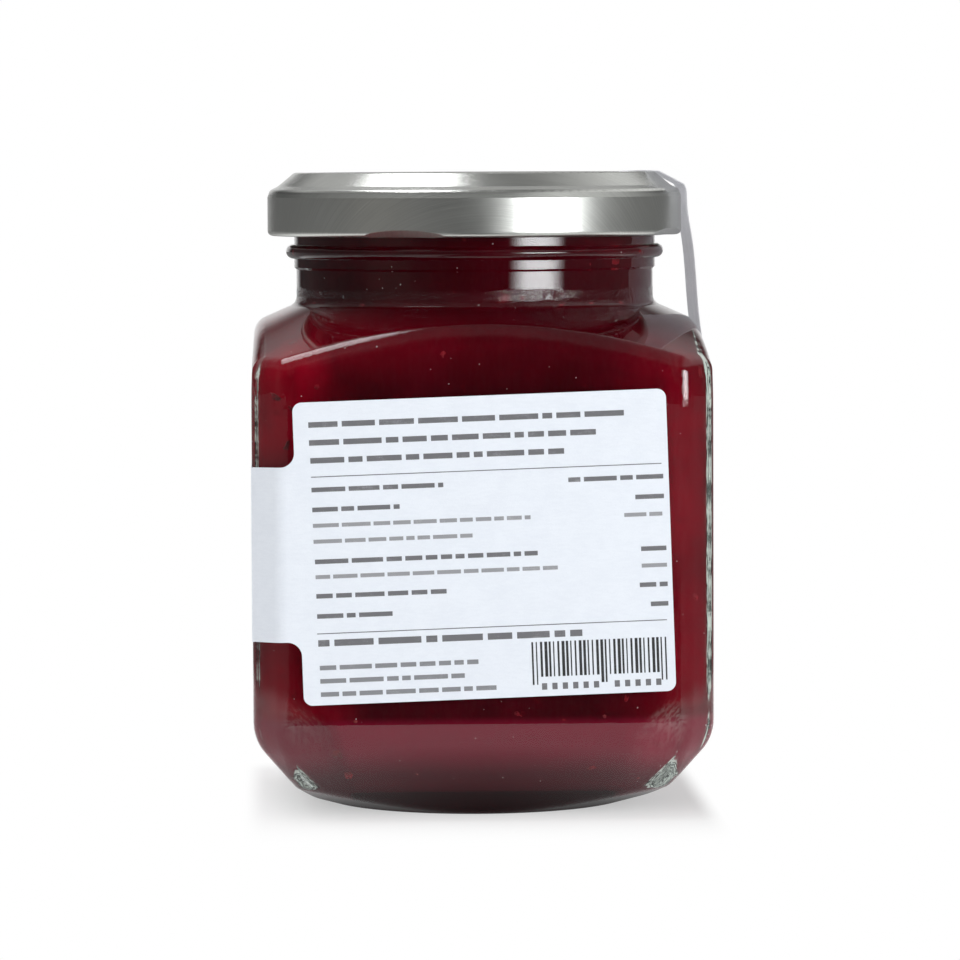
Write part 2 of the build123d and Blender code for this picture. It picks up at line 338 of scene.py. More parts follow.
@dataclass(frozen=True)
class JamFinish:
    """Dark jam whose colour carries painted light: a painted red glow at the upright corners, where light
    crosses little of it, stronger on the left, away from the right softbox, and just under the shoulder's
    arch; painted light from the floor at the heel, and painted shade low down by the foot.

    Seen at a low angle it turns back the light in the wall, and is then part mirror and part a pale, streaked
    painted reflection. The corner, lit and arch spans are shares of the jam's half width, and the body span
    is one of its height. The low, high, heel, foot and base spans are heights in metres, and the rest are
    spans of noise.
    """

    deep: Colour = (0.040, 0.0004, 0.0026)
    mid: Colour = (0.062, 0.0006, 0.0042)
    # bright is painted light: the red of lamp light that has crossed only a little jam
    bright: Colour = (0.28, 0.0006, 0.0110)
    # Heel and foot tones: painted floor light at the heel, and painted shade lower down by the foot
    painted_heel_light_tone: Colour = (0.175, 0.004, 0.020)
    painted_foot_shade_tone: Colour = (0.060, 0.003, 0.008)
    pulp_tone: Colour = (0.10, 0.0010, 0.0040)
    mirror_tone: Colour = (0.93, 0.97, 0.95)
    # Wall tone and share: a painted reflection, what the clear glass shows edge-on
    painted_wall_reflection: Colour = (0.85, 0.93, 0.86)
    painted_reflection_share: float = 0.7
    index_in_glass: float = 0.912
    cloud_scale: float = 95.0
    cloud_span: Span = (0.35, 0.75)
    cloud_drift: float = 0.010
    corner_span: Span = (0.50, 0.97)
    lit_span: Span = (-0.7, 0.7)
    painted_glow_power: float = 1.6
    painted_glow_right: float = 0.5
    body_span: Span = (0.90, 0.78)
    arch_low: Span = (0.066, 0.074)
    arch_high: Span = (0.081, 0.076)
    arch_span: Span = (0.3, -0.8)
    painted_arch_glow: Span = (0.08, 0.32)
    painted_heel_light_span: Span = (0.0165, 0.0145)
    painted_foot_shade_span: Span = (0.0130, 0.0070)
    base_span: Span = (0.0056, 0.0072)
    pulp_scale: float = 420.0
    pulp_span: Span = (0.60, 0.74)
    pulp_share: float = 0.45
    streak_scale: float = 1300.0
    streak_stretch: float = 0.22
    streak_span: Span = (0.42, 0.60)
    streak_level: Span = (0.03, 1.0)

    def build(self, half: float, top: float) -> bpy.types.Material:
        """Makes the material.

        Args:
            half: Half the jam's width.
            top: Height of the jam.

        Returns:
            The jam's material.
        """
        material, graph = new_material("dark red jam")
        place = graph.place()
        x, y, z = graph.parts(place)
        cloud = graph.noise(place, self.cloud_scale, 3.0, 0.6)
        drift = graph.product(graph.math("SUBTRACT", cloud, 0.5), self.cloud_drift)
        # Painted glow: brighter red towards the upright corners, and more on the left, away from the right
        # softbox
        inward = graph.math("MINIMUM", graph.math("ABSOLUTE", x), graph.math("ABSOLUTE", y))
        corner = graph.spread(graph.math("ADD", inward, drift), *(share * half for share in self.corner_span),
                              smooth=False)
        edge = graph.product(corner, graph.spread(z, *(share * top for share in self.body_span)))
        lit_side = graph.spread(x, *(share * half for share in self.lit_span), 1.0, self.painted_glow_right)
        glow = graph.product(graph.math("POWER", edge, self.painted_glow_power), lit_side)
        # Painted glow just under the shoulder's arch, stronger towards the left
        under_arch = graph.product(graph.spread(z, *self.arch_low), graph.spread(z, *self.arch_high))
        beside = graph.spread(x, *(share * half for share in self.arch_span), *self.painted_arch_glow)
        glow = graph.math("MAXIMUM", glow, graph.product(under_arch, beside))
        flecks = graph.product(graph.spread(graph.noise(place, self.pulp_scale, 4.0, 0.65), *self.pulp_span),
                               self.pulp_share)
        colour = graph.blend(graph.spread(cloud, *self.cloud_span), self.deep, self.mid)
        # Painted light and shade low down: red floor light at the heel, then painted shade towards the foot
        for share, tone in ((glow, self.bright), (graph.spread(z, *self.painted_heel_light_span), self.painted_heel_light_tone),
                            (graph.spread(z, *self.painted_foot_shade_span), self.painted_foot_shade_tone), (flecks, self.pulp_tone)):
            colour = graph.blend(share, colour, tone)
        jam = graph.add("BsdfPrincipled", {
            "Base Color": colour, "Roughness": 0.35, "IOR": 1.42, "Specular IOR Level": 0.0})
        turned_back = graph.product(graph.add("Fresnel", {"IOR": self.index_in_glass}).outputs[0],
                                    graph.spread(z, *self.base_span))
        wall = self.edge_on(graph, place)
        graph.surface(graph.add("MixShader", {0: turned_back, 1: jam.outputs[0], 2: wall}))
        return material

    def edge_on(self, graph: Graph, place: bpy.types.NodeSocket) -> bpy.types.NodeSocket:
        """Makes what shows at a low angle.

        Args:
            graph: The material's graph.
            place: The point's place on the jam.

        Returns:
            The shader: part mirror, and part a painted reflection, pale and streaked like the clear wall.
        """
        mirror = graph.add("BsdfPrincipled", {
            "Base Color": rgba(self.mirror_tone), "Metallic": 1.0, "Roughness": 0.0})
        # The pale, streaked wall shader is a painted reflection standing in for the clear glass seen edge-on
        upright = graph.stretched(place, (1.0, 1.0, self.streak_stretch))
        streaks = graph.noise(upright, self.streak_scale, 3.0, 0.7)
        shade = graph.grey(graph.spread(streaks, *self.streak_span, *self.streak_level))
        wall = graph.add("BsdfPrincipled", {
            "Base Color": graph.blend(1.0, self.painted_wall_reflection, shade, "MULTIPLY"), "Roughness": 0.5,
            "Specular IOR Level": 0.0})
        shares = {0: self.painted_reflection_share, 1: mirror.outputs[0], 2: wall.outputs[0]}
        return graph.add("MixShader", shares).outputs[0]


@dataclass(frozen=True)
class BitFinish:
    """Soft or hard bits in the jam, each patch a little different."""

    name: str
    first: Colour
    second: Colour
    scale: float = 500.0
    skin_scale: float = 2000.0
    skin_depth: float = 0.00004
    rough: float = 0.5

    def build(self) -> bpy.types.Material:
        """Makes the material.

        Returns:
            The bits' material.
        """
        material, graph = new_material(self.name)
        place = graph.place()
        shade = graph.spread(graph.noise(place, self.scale, 2.0), 0.3, 0.7)
        skin = graph.bump(graph.noise(place, self.skin_scale, 2.0), self.skin_depth)
        graph.surface(graph.add("BsdfPrincipled", {
            "Base Color": graph.blend(shade, self.first, self.second), "Roughness": self.rough,
            "Specular IOR Level": 0.1, "Normal": skin}))
        return material


@dataclass(frozen=True)
class BrushedLid:
    """Silver sheet brushed along one direction before it was drawn to a cap, under a satin lacquer."""

    metal: Colour = (0.63, 0.64, 0.61)
    tone: float = 0.79
    rough: float = 0.28
    smoother_top: float = 0.10
    top_depth: Span = (0.0036, 0.0030)
    line_scale: float = 4200.0
    line_stretch: float = 0.014
    line_depth: float = 0.000038
    line_share: float = 0.6
    line_tone: float = 0.34
    broad_scale: float = 924.0
    patch_scale: float = 90.0
    patch_tone: float = 0.06
    patch_rough: float = 0.10
    scratch_scale: float = 1500.0
    scratch_turn: float = 42.0
    scratch_stretch: float = 0.05
    scratch_span: Span = (0.68, 0.84)
    scratch_tone: float = 0.12
    scratch_rough: float = 0.10
    worn_scale: float = 61.0
    worn_span: Span = (0.52, 0.60)

    def build(self, top: float) -> bpy.types.Material:
        """Makes the material.

        Args:
            top: Height of the lid's top, from which its skirt was drawn down.

        Returns:
            The brushed metal.
        """
        material, graph = new_material("brushed lid")
        x, y, z = graph.parts(graph.place())
        radius = graph.radius(x, y)
        drawn = graph.math("SUBTRACT", top, z)
        share = graph.math("DIVIDE", graph.math("ADD", radius, drawn), radius)
        sheet = graph.add("CombineXYZ", {0: graph.product(x, share), 1: graph.product(y, share)}).outputs[0]
        along = graph.stretched(sheet, (self.line_stretch, 1.0, 1.0))
        lines = graph.noise(along, self.line_scale, 3.0, 0.6)
        broad = graph.noise(along, self.broad_scale, 2.0)
        normal = graph.bump(graph.mixed(lines, broad, self.line_share), self.line_depth)
        patch = graph.noise(sheet, self.patch_scale, 3.0)
        across = graph.stretched(sheet, (self.scratch_stretch, 1.0, 1.0), self.scratch_turn)
        strokes = graph.spread(graph.noise(across, self.scratch_scale, 1.0), *self.scratch_span)
        worn = graph.spread(graph.noise(sheet, self.worn_scale, 1.0), *self.worn_span)
        scratch = graph.product(strokes, worn)
        tone, dull = self.tone, self.rough
        for mark, lighter, rougher in ((patch, self.patch_tone, self.patch_rough),
                                       (scratch, self.scratch_tone, self.scratch_rough)):
            tone = graph.math("MULTIPLY_ADD", mark, lighter, tone)
            dull = graph.math("MULTIPLY_ADD", mark, rougher, dull)
        tone = graph.math("MULTIPLY_ADD", lines, self.line_tone, tone)
        colour = graph.blend(1.0, self.metal, graph.grey(tone), "MULTIPLY")
        rough = graph.math("SUBTRACT", dull, graph.spread(drawn, *self.top_depth, 0.0, self.smoother_top))
        graph.surface(graph.add("BsdfPrincipled", {
            "Base Color": colour, "Metallic": 1.0, "Roughness": rough, "Normal": normal}))
        return material


@dataclass(frozen=True)
class Paper:
    """Uncoated label paper."""

    name: str
    light: Colour
    shade: Colour
    fineness: float = 1.0
    tone_span: Span = (0.35, 0.65)
    relief: float = 0.00003
    through: float = 0.0
    free_above: float = 0.0
    free_beyond: float = 0.0
    free_fade: Span = (0.006, 0.001)

    def build(self, fibre: bpy.types.NodeTree) -> bpy.types.Material:
        """Makes the material. Light shines through it where it hangs free.

        Args:
            fibre: The shared group of paper fibre.

        Returns:
            The paper.
        """
        material, graph = new_material(self.name)
        felt = graph.put(fibre, Fineness=self.fineness)
        colour = graph.blend(graph.spread(felt.outputs["Tone"], *self.tone_span), self.shade, self.light)
        paper = graph.add("BsdfPrincipled", {
            "Base Color": colour, "Roughness": 0.75, "Specular IOR Level": 0.25,
            "Normal": graph.bump(felt.outputs["Height"], self.relief)})
        if self.through > 0.0:
            x, _, z = graph.parts(graph.place())
            fade_up, fade_out = self.free_fade
            hanging = graph.product(graph.spread(z, self.free_above, self.free_above + fade_up),
                                    graph.spread(x, self.free_beyond, self.free_beyond + fade_out))
            share = graph.product(hanging, self.through)
            glow = graph.add("BsdfTranslucent", {"Color": colour})
            paper = graph.add("MixShader", {0: share, 1: paper.outputs[0], 2: glow.outputs[0]})
        graph.surface(paper)
        return material


@dataclass(frozen=True)
class PrintInk:
    """Ink that has sunk a little unevenly into the paper."""

    name: str
    tone: Colour
    worn: Colour
    fineness: float = 1.6
    worn_span: Span = (0.50, 0.72)
    relief: float = 0.00002

    def build(self, fibre: bpy.types.NodeTree) -> bpy.types.Material:
        """Makes the material.

        Args:
            fibre: The shared group of paper fibre.

        Returns:
            The ink.
        """
        material, graph = new_material(self.name)
        felt = graph.put(fibre, Fineness=self.fineness)
        gaps = graph.spread(felt.outputs["Tone"], *self.worn_span)
        graph.surface(graph.add("BsdfPrincipled", {
            "Base Color": graph.blend(gaps, self.tone, self.worn), "Roughness": 0.6,
            "Normal": graph.bump(felt.outputs["Height"], self.relief)}))
        return material


# ---- Meshes ----------------------------------------------------------------------------------------------
def finish_mesh(name: str, mesh: bmesh.types.BMesh, material: bpy.types.Material,
                crease: float | None = None) -> bpy.types.Object:
    """Turns a bmesh into a piece of the object.

    Args:
        name: The piece's name.
        mesh: Its shape, in metres in the shared frame.
        material: Its finish.
        crease: Edges sharper than this many degrees stay sharp under smooth shading. None shades flat.

    Returns:
        The new piece, which rides on the jar.
    """
    if crease is not None:
        for face in mesh.faces:
            face.smooth = True
        for edge in mesh.edges:
            edge.smooth = len(edge.link_faces) == 2 and edge.calc_face_angle(0.0) < math.radians(crease)
    data = bpy.data.meshes.new(name)
    mesh.to_mesh(data)
    mesh.free()
    data.materials.append(material)
    piece = bpy.data.objects.new(name, data)
    bpy.context.scene.collection.objects.link(piece)
    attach(piece, ROOT)
    log.info("%s: %d faces", name, len(data.polygons))
    return piece


def merged_copy(node: str) -> bmesh.types.BMesh:
    """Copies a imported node's mesh and joins its loose triangles.

    Args:
        node: The node's name.

    Returns:
        The copy.
    """
    mesh = bmesh.new()
    mesh.from_mesh(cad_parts[node].data)
    bmesh.ops.remove_doubles(mesh, verts=mesh.verts, dist=SAME_PLACE)
    return mesh


def dress(node: str, material: bpy.types.Material) -> None:
    """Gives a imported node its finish.

    Args:
        node: The node's name.
        material: Its finish.
    """
    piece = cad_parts[node]
    piece.data.materials.clear()
    piece.data.materials.append(material)
    log.info("%s: packed node, %d faces", node, len(piece.data.polygons))


# ---- The jar and what is in it ---------------------------------------------------------------------------
@dataclass
class GlassJar:
    """The jar itself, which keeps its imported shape."""

    finish: ClearGlass = field(default_factory=ClearGlass)
    neck_base: float = 0.0792
    neck_band: float = 0.0030

    def build(self) -> None:
        """Dresses the jar."""
        dress("jar", self.finish.build(self.neck_base, self.neck_base + self.neck_band))


@dataclass(frozen=True)
class Bits:
    """One kind of bit in the jam: half lengths in millimetres, and thickness as a share of the length."""

    name: str
    count: int
    length: Span
    flatness: Span
    finish: BitFinish


@dataclass
class Jam:
    """The jam and the bits that show in it."""

    reach: float = 0.12 * MM
    bits_from: float = 1.0 * MM
    bits_up_to: float = 0.98
    outside: float = 0.1
    sink: float = 0.02 * MM
    breadth: Span = (0.45, 1.0)
    jitter: float = 0.16
    rounder_above: float = 0.3 * MM
    finish: JamFinish = field(default_factory=JamFinish)
    bits: tuple[Bits, ...] = (
        Bits("pulp_bits", 230, (0.20, 1.10), (0.10, 0.22),
             BitFinish("berry pulp", (0.085, 0.0010, 0.0045), (0.22, 0.0040, 0.0110))),
        Bits("seeds", 34, (0.18, 0.42), (0.35, 0.5),
             BitFinish("berry seeds", (0.15, 0.012, 0.018), (0.24, 0.040, 0.040))),
        Bits("bubbles", 480, (0.045, 0.12), (0.9, 1.0),
             BitFinish("air bubbles", (0.48, 0.34, 0.35), (0.85, 0.78, 0.78))),
    )
    seed: int = 11

    def build(self) -> None:
        """Makes the jam's body and its bits."""
        _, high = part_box("jam")
        half = high.x
        mesh = merged_copy("jam")
        for vert in mesh.verts:
            vert.co += vert.normal * self.reach
        surface = BVHTree.FromBMesh(mesh)
        body = finish_mesh("jam_body", mesh, self.finish.build(half, high.z), crease=40.0)
        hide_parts("jam")
        rng = random.Random(self.seed)
        for kind in self.bits:
            self.scatter(kind, surface, rng)

    def scatter(self, kind: Bits, surface: BVHTree, rng: random.Random) -> None:
        """Lays bits of one kind on the jam's skin, where they show through the glass.

        Args:
            kind: The kind of bit.
            surface: The jam's skin.
            rng: The seeded source of chance.
        """
        mesh = bmesh.new()
        low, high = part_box("jam")
        for _ in range(kind.count):
            turn = rng.uniform(0.0, 2.0 * math.pi)
            level = rng.uniform(low.z + self.bits_from, self.bits_up_to * high.z)
            aim = Vector((math.cos(turn), math.sin(turn), 0.0))
            spot, normal, _, _ = surface.ray_cast(aim * self.outside + Vector((0.0, 0.0, level)), -aim)
            if spot is None:
                continue
            length = rng.uniform(*kind.length) * MM
            breadth = length * rng.uniform(*self.breadth)
            shape = Matrix.Diagonal((length, breadth, length * rng.uniform(*kind.flatness), 1.0))
            upright = normal.to_track_quat("Z", "Y").to_matrix().to_4x4()
            roll = Matrix.Rotation(rng.uniform(0.0, math.pi), 4, "Z")
            lie = Matrix.Translation(spot - normal * self.sink) @ upright @ roll @ shape
            steps = 2 if length > self.rounder_above else 1
            new = bmesh.ops.create_icosphere(mesh, subdivisions=steps, radius=1.0, matrix=lie)
            for vert in new["verts"]:
                vert.co += Vector([rng.uniform(-self.jitter, self.jitter) * length for _ in range(3)])
        finish_mesh(kind.name, mesh, kind.finish.build(), crease=80.0)


@dataclass
class Lid:
    """The pressed lid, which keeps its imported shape."""

    finish: BrushedLid = field(default_factory=BrushedLid)

    def build(self) -> None:
        """Dresses the lid."""
        dress("lid", self.finish.build(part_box("lid")[1].z))


# ---- Label and strip -------------------------------------------------------------------------------------
@dataclass
class Sheet:
    """A printed panel's own flat frame, with its first axis along the lines, from the panel's middle."""

    middle: Vector
    right: Vector
    outward: Vector
    tilt: float

    def matrix(self) -> Matrix:
        """Works out how the sheet lies.

        Returns:
            The turn and place that carry the sheet's frame into the shared frame.
        """
        up = self.outward.cross(self.right)
        turn = Matrix((self.right, up, self.outward)).transposed().to_4x4()
        return Matrix.Translation(self.middle) @ turn @ Matrix.Rotation(math.radians(self.tilt), 4, "Z")


@dataclass
class Print:
    """Marks of one ink on one sheet, gathered into one mesh."""

    sheet: Sheet
    thickness: float = 0.016
    word_span: Span = (1.6, 7.5)
    word_gap: float = 0.75
    mesh: bmesh.types.BMesh = field(default_factory=bmesh.new)

    def bar(self, left: float, low: float, width: float, height: float) -> None:
        """Prints a plain bar. All sizes are in millimetres.

        Args:
            left: Place of its left end.
            low: Place of its lower side.
            width: Its width.
            height: Its height.
        """
        size = Matrix.Diagonal((width * MM, height * MM, self.thickness * MM, 1.0))
        place = Matrix.Translation(Vector((left + width / 2, low + height / 2, self.thickness / 2)) * MM)
        bmesh.ops.create_cube(self.mesh, size=1.0, matrix=self.sheet.matrix() @ place @ size)

    def disc(self, across: float, level: float, radius: float) -> None:
        """Prints a plain disc. All sizes are in millimetres.

        Args:
            across: Place of its middle along the lines.
            level: Height of its middle.
            radius: Its radius.
        """
        place = Matrix.Translation(Vector((across, level, self.thickness / 2)) * MM)
        bmesh.ops.create_cone(
            self.mesh, cap_ends=True, segments=48, radius1=radius * MM, radius2=radius * MM,
            depth=self.thickness * MM, matrix=self.sheet.matrix() @ place)

    def words(self, left: float, low: float, length: float, height: float, rng: random.Random) -> None:
        """Prints a row of plain bars of chance lengths, as a stand-in for a line of small print.

        Args:
            left: Where the row starts.
            low: Its base line.
            length: Its length.
            height: Height of a bar.
            rng: The seeded source of chance.
        """
        at = left
        end = left + length
        while at < end - height:
            word = min(end, at + rng.uniform(*self.word_span) * height) - at
            self.bar(at, low, word, height)
            at += word + self.word_gap * height

    def finish(self, name: str, material: bpy.types.Material) -> None:
        """Makes the piece, if anything is printed in this ink.

        Args:
            name: The piece's name.
            material: The ink.
        """
        if self.mesh.faces:
            finish_mesh(name, self.mesh, material)


@dataclass(frozen=True)
class Row:
    """One row of small print, in millimetres from the panel's middle."""

    left: float
    low: float
    length: float
    height: float
    ink: Ink


FRONT_ROWS = (
    Row(-26.3, 19.40, 48.4, 0.85, Ink.DARK),
    Row(-26.3, 16.65, 44.0, 0.85, Ink.DARK),
    Row(-26.2, 13.90, 39.6, 0.85, Ink.DARK),
    Row(-26.2, 9.50, 20.2, 0.70, Ink.DARK),
    Row(-26.2, 6.45, 13.4, 0.70, Ink.DARK),
    Row(-26.2, 4.05, 33.4, 0.60, Ink.PALE),
    Row(-26.2, 1.60, 24.4, 0.60, Ink.PALE),
    Row(-26.1, -1.55, 34.2, 0.70, Ink.DARK),
    Row(-26.1, -3.85, 37.2, 0.60, Ink.PALE),
    Row(-26.1, -6.85, 20.0, 0.70, Ink.DARK),
    Row(-26.1, -9.95, 12.4, 0.70, Ink.DARK),
    Row(-26.1, -14.25, 41.8, 1.00, Ink.DARK),
    Row(-26.0, -17.90, 25.0, 0.70, Ink.GREY),
    Row(-26.0, -19.95, 22.2, 0.70, Ink.GREY),
    Row(-26.0, -22.00, 27.0, 0.70, Ink.GREY),
    Row(13.2, 9.50, 14.6, 0.70, Ink.DARK),
    Row(23.4, 6.45, 4.4, 0.70, Ink.DARK),
    Row(21.6, 3.80, 6.2, 0.60, Ink.PALE),
    Row(24.0, -1.55, 3.9, 0.70, Ink.DARK),
    Row(24.0, -4.10, 3.9, 0.60, Ink.PALE),
    Row(23.6, -7.10, 4.3, 0.70, Ink.DARK),
    Row(25.2, -10.10, 2.7, 0.70, Ink.DARK),
)

BACK_ROWS = (
    Row(-17.0, -4.6, 34.0, 1.20, Ink.DARK),
    Row(-12.5, -7.6, 25.0, 0.85, Ink.DARK),
    Row(-15.0, -13.2, 30.0, 0.70, Ink.GREY),
    Row(-11.0, -15.3, 22.0, 0.70, Ink.GREY),
)


@dataclass
class Label:
    """The wrap-round paper label and its print."""

    fibre: bpy.types.NodeTree
    tilt: float = 1.9
    lift: float = 0.002 * MM
    front_middle: float = 42.6 * MM
    back_middle: float = 40.3 * MM
    paper: Paper = Paper("label paper", (0.805, 0.845, 0.90), (0.765, 0.805, 0.865))
    inks: tuple[tuple[Ink, PrintInk], ...] = (
        (Ink.BLACK, PrintInk("black ink", (0.020, 0.020, 0.022), (0.070, 0.070, 0.075))),
        (Ink.DARK, PrintInk("dark ink", (0.15, 0.15, 0.16), (0.26, 0.26, 0.275))),
        (Ink.GREY, PrintInk("grey ink", (0.23, 0.235, 0.25), (0.34, 0.345, 0.36))),
        (Ink.PALE, PrintInk("pale ink", (0.30, 0.305, 0.32), (0.42, 0.425, 0.44))),
        (Ink.RED, PrintInk("berry ink", (0.16, 0.006, 0.020), (0.24, 0.018, 0.034))),
    )
    seed: int = 5

    def build(self) -> None:
        """Dresses the label and prints its two panels."""
        dress("label", self.paper.build(self.fibre))
        low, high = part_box("label")
        front = Sheet(Vector((0.0, low.y - self.lift, self.front_middle)), Vector((1.0, 0.0, 0.0)),
                      Vector((0.0, -1.0, 0.0)), self.tilt)
        back = Sheet(Vector((0.0, high.y + self.lift, self.back_middle)), Vector((-1.0, 0.0, 0.0)),
                     Vector((0.0, 1.0, 0.0)), -self.tilt)
        rng = random.Random(self.seed)
        for ink, finish in self.inks:
            front_layer, back_layer = Print(front), Print(back)
            for layer, rows in ((front_layer, FRONT_ROWS), (back_layer, BACK_ROWS)):
                for row in rows:
                    if row.ink is ink:
                        layer.words(row.left, row.low, row.length, row.height, rng)
            if ink is Ink.BLACK:
                self.bar_field(front_layer)
            if ink is Ink.DARK:
                self.rules(front_layer)
                self.bar_foot(front_layer)
            if ink is Ink.RED:
                self.berries(back_layer)
            material = finish.build(self.fibre)
            front_layer.finish(f"front_print_{ink.value}", material)
            back_layer.finish(f"back_print_{ink.value}", material)

    def rules(self, layer: Print, left: float = -26.2, length: float = 53.8, height: float = 0.14) -> None:
        """Prints the two thin rules across the panel.

        Args:
            layer: Where they are printed.
            left: Place of their left end.
            length: Their length.
            height: Their thickness.
        """
        for low in (11.75, -12.35):
            layer.bar(left, low, length, height)

    def bar_field(self, layer: Print, left: float = 6.6, low: float = -20.3, length: float = 21.2,
                  height: float = 5.4, guard: float = 1.2, count: int = 32) -> None:
        """Prints a field of upright bars whose widths swing by a formula and so stand for no number.

        Args:
            layer: Where it is printed.
            left: Place of its left side.
            low: Place of its lower side.
            length: Its length.
            height: Height of a bar.
            guard: How much further the outer and middle bars reach down.
            count: How many bars.
        """
        pitch = length / count
        thinnest, swing = 0.28 * pitch, 0.40 * pitch
        for number in range(count):
            width = thinnest + swing * math.sin(2.4 * number + 0.6) ** 2
            longer = guard if number in (0, 1, count // 2, count // 2 + 1, count - 2, count - 1) else 0.0
            layer.bar(left + number * pitch, low - longer, width, height + longer)

    def bar_foot(self, layer: Print, left: float = 8.0, low: float = -22.3, length: float = 19.2,
                 height: float = 1.0, count: int = 12) -> None:
        """Prints the row of small plain marks under the field of bars.

        Args:
            layer: Where it is printed.
            left: Place of its left end.
            low: Place of its lower side.
            length: Its length.
            height: Height of a mark.
            count: How many marks it has room for. The middle one is left out.
        """
        pitch = length / count
        for number in range(count):
            if number != count // 2:
                layer.bar(left + number * pitch, low, 0.5 * pitch, height)

    def berries(self, layer: Print, low: float = 5.2, size: float = 4.2, pitch: float = 2.4) -> None:
        """Prints three plain discs in a row.

        Args:
            layer: Where they are printed.
            low: Place of their lower side.
            size: Their radius.
            pitch: Their distance, in radii.
        """
        for place in (-1, 0, 1):
            layer.disc(pitch * size * place, low + size, size)


@dataclass
class SealStrip:
    """The paper strip over the lid's edge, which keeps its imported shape."""

    fibre: bpy.types.NodeTree
    paper: Paper = Paper("strip paper", (0.86, 0.86, 0.88), (0.79, 0.79, 0.81), fineness=0.9, through=0.62,
                         free_above=0.068, free_beyond=0.0245)

    def build(self) -> None:
        """Dresses the strip."""
        dress("seal_strip", self.paper.build(self.fibre))


# ---- Studio ----------------------------------------------------------------------------------------------
@dataclass(frozen=True)
class Softbox:
    """A rectangular lamp that faces the jar and fades towards its edges."""

    name: str
    place: Vector
    width: float
    height: float
    level: float
    colour: Colour = WHITE
    core_across: float = 0.2
    core_up: float = 0.6

    def build(self, aim: Vector) -> None:
        """Sets the lamp up.

        Args:
            aim: The point that it faces.
        """
        lamp = bpy.data.lights.new(self.name, "AREA")
        lamp.shape = "RECTANGLE"
        lamp.size = self.width
        lamp.size_y = self.height
        lamp.energy = math.pi * self.width * self.height * self.level
        lamp.color = self.colour
        lamp.use_nodes = True
        graph = Graph(lamp.node_tree)
        across, up, _ = graph.parts(graph.add("NewGeometry").outputs["Parametric"])
        fade = graph.product(self.fade(graph, across, self.core_across), self.fade(graph, up, self.core_up))
        glow = graph.add("Emission", {"Color": rgba(WHITE), "Strength": fade})
        output = graph.add("OutputLight")
        graph.tree.links.new(glow.outputs[0], output.inputs[0])
        stand = bpy.data.objects.new(self.name, lamp)
        turn = (aim - self.place).to_track_quat("-Z", "Y")
        stand.matrix_world = Matrix.Translation(self.place) @ turn.to_matrix().to_4x4()
        bpy.context.scene.collection.objects.link(stand)

    def fade(self, graph: Graph, share: bpy.types.NodeSocket, core: float) -> bpy.types.NodeSocket:
        """Full brightness in the core, and none at the edge, along one side of the lamp."""
        off = graph.math("ABSOLUTE", graph.math("MULTIPLY_ADD", share, 2.0, -1.0))
        return graph.spread(off, 1.0, core)


def around(degrees: float, distance: float, height: float) -> Vector:
    """A point at so many degrees from the front towards +X."""
    turn = math.radians(degrees)
    return Vector((distance * math.sin(turn), -distance * math.cos(turn), height))


@dataclass(frozen=True)
class Surroundings:
    """White to the camera. To glass and metal, a white ground behind the jar in a dim room with a pale sky.

    Spans are parts of a direction: aside and right along X, behind and through along Y, low and above on Z.
    """

    ground_level: float = 0.86
    ground_low: Span = (0.75, 0.25)
    ground_behind: Span = (0.90, 0.98)
    ground_through: Span = (0.15, 0.75)
    room_aside: Span = (0.2, 0.8)
    room_level: Span = (0.03, 0.10)
    sky_above: Span = (0.30, 0.55)
    sky_behind: Span = (0.35, 0.65)
    sky_level: Span = (0.20, 0.48)
    sky_right: Span = (0.25, 0.60)
    sky_extra: float = 0.50
    soft_aside: Span = (0.2, -0.9)
    soft_level: Span = (0.33, 0.85)

    def build(self) -> None:
        """Makes the world and puts it round the scene."""
        world = bpy.data.worlds.new("studio")
        bpy.context.scene.world = world
        world.use_nodes = True
        graph = Graph(world.node_tree)
        x, y, z = graph.parts(graph.add("TexCoord").outputs["Generated"])
        path = graph.add("LightPath").outputs
        through = graph.product(graph.spread(y, *self.ground_through), path["Is Transmission Ray"])
        behind = graph.math("MAXIMUM", graph.spread(y, *self.ground_behind), through)
        ground = graph.product(behind, graph.spread(z, *self.ground_low))
        room = graph.spread(graph.math("ABSOLUTE", x), *self.room_aside, *self.room_level)
        sky = graph.math("ADD", graph.spread(y, *self.sky_behind, *self.sky_level),
                         graph.spread(x, *self.sky_right, 0.0, self.sky_extra))
        sky = graph.product(graph.spread(z, *self.sky_above), sky)
        level = graph.math("MULTIPLY_ADD", ground, self.ground_level, graph.math("ADD", room, sky))
        soft = graph.product(path["Is Diffuse Ray"], graph.spread(x, *self.soft_aside, *self.soft_level))
        level = graph.math("MAXIMUM", graph.math("MAXIMUM", level, soft), path["Is Camera Ray"])
        background = graph.add("Background", {"Color": rgba(WHITE), "Strength": level})
        output = graph.add("OutputWorld")
        graph.tree.links.new(background.outputs[0], output.inputs["Surface"])


